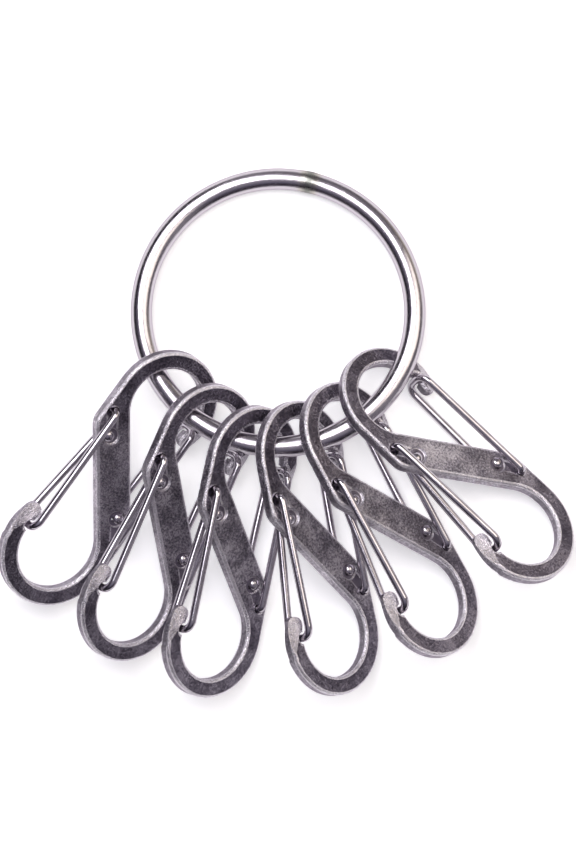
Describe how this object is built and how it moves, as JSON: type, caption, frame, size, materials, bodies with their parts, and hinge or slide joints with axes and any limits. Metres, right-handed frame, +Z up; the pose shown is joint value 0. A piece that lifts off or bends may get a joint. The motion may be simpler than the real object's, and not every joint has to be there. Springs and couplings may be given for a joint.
{
  "type": "carabiner keyring",
  "caption": "Closed steel ring carrying a fan of flat S-shaped double-gate carabiners, each with two sprung wire gates.",
  "frame": {"origin": "middle of the object's box, on the surface that it lies on", "axes": "+X across the fan to the right, +Y from the carabiners towards the ring, +Z up off the table"},
  "size_m": [0.099, 0.0914, 0.017],
  "materials": {
    "polished_steel": "polished round wire",
    "gate_wire": "polished spring wire",
    "tumbled_steel": "tumbled satin plate with bright worn edges"
  },
  "bodies": {
    "ring": {"key_ring": "polished_steel"},
    "carabiner_1": {"carabiner_1_plate": "tumbled_steel"},
    "carabiner_1_upper_gate": {"carabiner_1_upper_gate": "gate_wire"},
    "carabiner_1_lower_gate": {"carabiner_1_lower_gate": "gate_wire"},
    "carabiner_2": {"carabiner_2_plate": "tumbled_steel"},
    "carabiner_2_upper_gate": {"carabiner_2_upper_gate": "gate_wire"},
    "carabiner_2_lower_gate": {"carabiner_2_lower_gate": "gate_wire"},
    "carabiner_3": {"carabiner_3_plate": "tumbled_steel"},
    "carabiner_3_upper_gate": {"carabiner_3_upper_gate": "gate_wire"},
    "carabiner_3_lower_gate": {"carabiner_3_lower_gate": "gate_wire"},
    "carabiner_4": {"carabiner_4_plate": "tumbled_steel"},
    "carabiner_4_upper_gate": {"carabiner_4_upper_gate": "gate_wire"},
    "carabiner_4_lower_gate": {"carabiner_4_lower_gate": "gate_wire"},
    "carabiner_5": {"carabiner_5_plate": "tumbled_steel"},
    "carabiner_5_upper_gate": {"carabiner_5_upper_gate": "gate_wire"},
    "carabiner_5_lower_gate": {"carabiner_5_lower_gate": "gate_wire"},
    "carabiner_6": {"carabiner_6_plate": "tumbled_steel"},
    "carabiner_6_upper_gate": {"carabiner_6_upper_gate": "gate_wire"},
    "carabiner_6_lower_gate": {"carabiner_6_lower_gate": "gate_wire"}
  },
  "joints": [
    {"name": "carabiner_1_slide_round_ring", "type": "hinge", "parent": "carabiner_2", "child": "carabiner_1", "pos_m": [-0.0016, 0.02064, 0.00592], "axis": [0, 0.0872, 0.9962], "range_deg": [-6, 0]},
    {"name": "carabiner_1_upper_gate_hinge", "type": "hinge", "parent": "carabiner_1", "child": "carabiner_1_upper_gate", "pos_m": [-0.03011, -0.01685, 0.0038], "axis": [0.4653, -0.3439, 0.8156], "range_deg": [0, 22], "stiffness_Nm_per_rad": 0.05, "springref_deg": -17.19},
    {"name": "carabiner_1_lower_gate_hinge", "type": "hinge", "parent": "carabiner_1", "child": "carabiner_1_lower_gate", "pos_m": [-0.03034, 0.00169, 0.01174], "axis": [0.4653, -0.3439, 0.8156], "range_deg": [0, 22], "stiffness_Nm_per_rad": 0.05, "springref_deg": -17.19},
    {"name": "carabiner_2_slide_round_ring", "type": "hinge", "parent": "carabiner_3", "child": "carabiner_2", "pos_m": [-0.0016, 0.02064, 0.00592], "axis": [0, 0.0872, 0.9962], "range_deg": [-6, 0]},
    {"name": "carabiner_2_upper_gate_hinge", "type": "hinge", "parent": "carabiner_2", "child": "carabiner_2_upper_gate", "pos_m": [-0.01845, -0.02398, 0.004], "axis": [0.5891, -0.2711, 0.7613], "range_deg": [0, 22], "stiffness_Nm_per_rad": 0.05, "springref_deg": -17.19},
    {"name": "carabiner_2_lower_gate_hinge", "type": "hinge", "parent": "carabiner_2", "child": "carabiner_2_lower_gate", "pos_m": [-0.02201, -0.00631, 0.01304], "axis": [0.5891, -0.2711, 0.7613], "range_deg": [0, 22], "stiffness_Nm_per_rad": 0.05, "springref_deg": -17.19},
    {"name": "carabiner_3_slide_round_ring", "type": "hinge", "parent": "ring", "child": "carabiner_3", "pos_m": [-0.0016, 0.02064, 0.00592], "axis": [0, 0.0872, 0.9962], "range_deg": [-6, 0]},
    {"name": "carabiner_3_upper_gate_hinge", "type": "hinge", "parent": "carabiner_3", "child": "carabiner_3_upper_gate", "pos_m": [-0.00602, -0.02832, 0.00409], "axis": [0.6625, -0.1517, 0.7335], "range_deg": [0, 22], "stiffness_Nm_per_rad": 0.05, "springref_deg": -17.19},
    {"name": "carabiner_3_lower_gate_hinge", "type": "hinge", "parent": "carabiner_3", "child": "carabiner_3_lower_gate", "pos_m": [-0.01272, -0.01182, 0.01355], "axis": [0.6625, -0.1517, 0.7335], "range_deg": [0, 22], "stiffness_Nm_per_rad": 0.05, "springref_deg": -17.19},
    {"name": "carabiner_4_slide_round_ring", "type": "hinge", "parent": "ring", "child": "carabiner_4", "pos_m": [-0.0016, 0.02064, 0.00592], "axis": [0, 0.0872, 0.9962], "range_deg": [0, 5]},
    {"name": "carabiner_4_upper_gate_hinge", "type": "hinge", "parent": "carabiner_4", "child": "carabiner_4_upper_gate", "pos_m": [0.01127, -0.02573, 0.00409], "axis": [0.6779, 0.1202, 0.7252], "range_deg": [0, 22], "stiffness_Nm_per_rad": 0.05, "springref_deg": -17.19},
    {"name": "carabiner_4_lower_gate_hinge", "type": "hinge", "parent": "carabiner_4", "child": "carabiner_4_lower_gate", "pos_m": [-0.00121, -0.0131, 0.01366], "axis": [0.6779, 0.1202, 0.7252], "range_deg": [0, 22], "stiffness_Nm_per_rad": 0.05, "springref_deg": -17.19},
    {"name": "carabiner_5_slide_round_ring", "type": "hinge", "parent": "carabiner_4", "child": "carabiner_5", "pos_m": [-0.0016, 0.02064, 0.00592], "axis": [0, 0.0872, 0.9962], "range_deg": [0, 5]},
    {"name": "carabiner_5_upper_gate_hinge", "type": "hinge", "parent": "carabiner_5", "child": "carabiner_5_upper_gate", "pos_m": [0.02514, -0.0187, 0.00407], "axis": [0.602, 0.3044, 0.7382], "range_deg": [0, 22], "stiffness_Nm_per_rad": 0.05, "springref_deg": -17.19},
    {"name": "carabiner_5_lower_gate_hinge", "type": "hinge", "parent": "carabiner_5", "child": "carabiner_5_lower_gate", "pos_m": [0.00937, -0.01034, 0.01347], "axis": [0.602, 0.3044, 0.7382], "range_deg": [0, 22], "stiffness_Nm_per_rad": 0.05, "springref_deg": -17.19},
    {"name": "carabiner_6_slide_round_ring", "type": "hinge", "parent": "carabiner_5", "child": "carabiner_6", "pos_m": [-0.0016, 0.02064, 0.00592], "axis": [0, 0.0872, 0.9962], "range_deg": [0, 5]},
    {"name": "carabiner_6_upper_gate_hinge", "type": "hinge", "parent": "carabiner_6", "child": "carabiner_6_upper_gate", "pos_m": [0.03781, -0.00653, 0.00387], "axis": [0.4364, 0.4525, 0.7777], "range_deg": [0, 22], "stiffness_Nm_per_rad": 0.05, "springref_deg": -17.19},
    {"name": "carabiner_6_lower_gate_hinge", "type": "hinge", "parent": "carabiner_6", "child": "carabiner_6_lower_gate", "pos_m": [0.01976, -0.00391, 0.01247], "axis": [0.4364, 0.4525, 0.7777], "range_deg": [0, 22], "stiffness_Nm_per_rad": 0.05, "springref_deg": -17.19}
  ]
}
